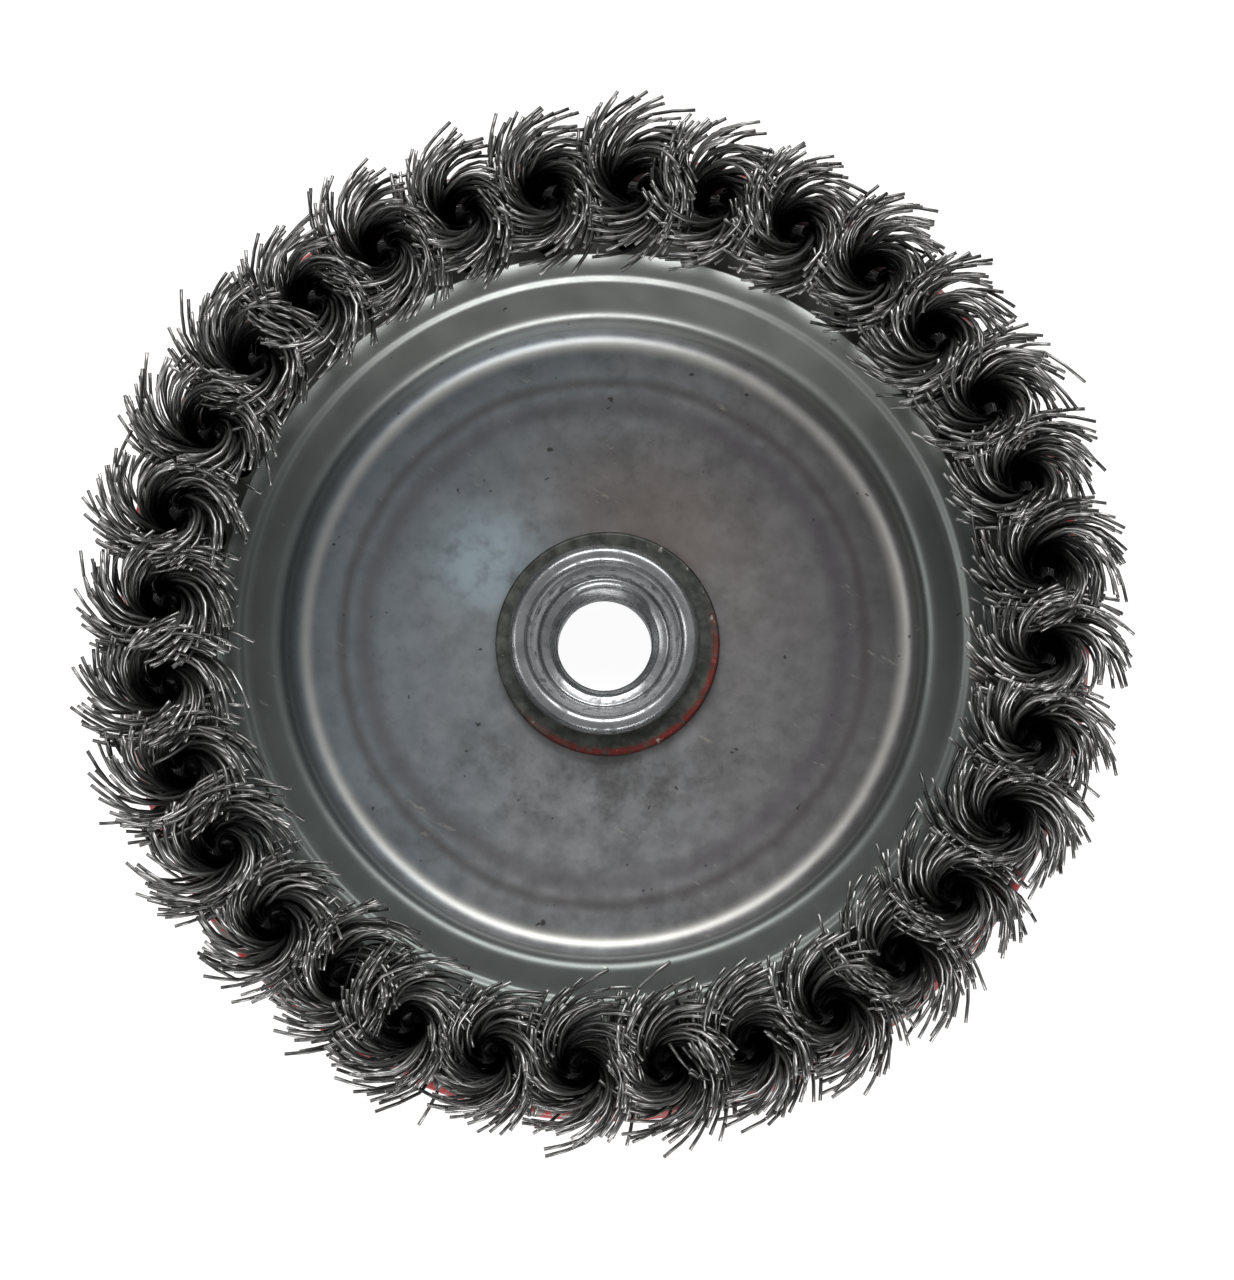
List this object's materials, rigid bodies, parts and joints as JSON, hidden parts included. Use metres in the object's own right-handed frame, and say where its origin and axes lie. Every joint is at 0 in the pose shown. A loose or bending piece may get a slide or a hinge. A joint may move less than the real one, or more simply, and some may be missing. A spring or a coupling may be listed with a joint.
{
  "type": "twisted knot wire cup brush",
  "caption": "Cup-shaped wire brush for an angle grinder: a row of twisted wire knots around a pressed steel cup with a threaded hub.",
  "frame": {"origin": "middle of the hub's seat face, where the brush stands on a bench with the knots up", "axes": "+Z along the spindle axis from the hub's seat towards the knots; +X towards knot_01"},
  "size_m": [0.125, 0.125, 0.048],
  "materials": {
    "red_paint": "gloss enamel sprayed over pressed steel",
    "pressed_steel": "dull zinc plate, slightly heat tinted and scuffed",
    "zinc_plated_hub": "turned steel, zinc plated",
    "brush_wire": "drawn high-carbon steel wire, dark and lightly oiled"
  },
  "bodies": {
    "root": {"hub_nut": "zinc_plated_hub", "hub_washer": "zinc_plated_hub", "outer_cup": "red_paint", "knot_holder": "pressed_steel", "inner_dish": "pressed_steel", "knot_01": "brush_wire", "knot_02": "brush_wire", "knot_03": "brush_wire", "knot_04": "brush_wire", "knot_05": "brush_wire", "knot_06": "brush_wire", "knot_07": "brush_wire", "knot_08": "brush_wire", "knot_09": "brush_wire", "knot_10": "brush_wire", "knot_11": "brush_wire", "knot_12": "brush_wire", "knot_13": "brush_wire", "knot_14": "brush_wire", "knot_15": "brush_wire", "knot_16": "brush_wire", "knot_17": "brush_wire", "knot_18": "brush_wire", "knot_19": "brush_wire", "knot_20": "brush_wire", "knot_21": "brush_wire", "knot_22": "brush_wire", "knot_23": "brush_wire", "knot_24": "brush_wire", "knot_25": "brush_wire", "knot_26": "brush_wire", "knot_27": "brush_wire", "knot_28": "brush_wire", "knot_29": "brush_wire", "knot_30": "brush_wire", "knot_31": "brush_wire", "knot_32": "brush_wire"}
  },
  "joints": []
}
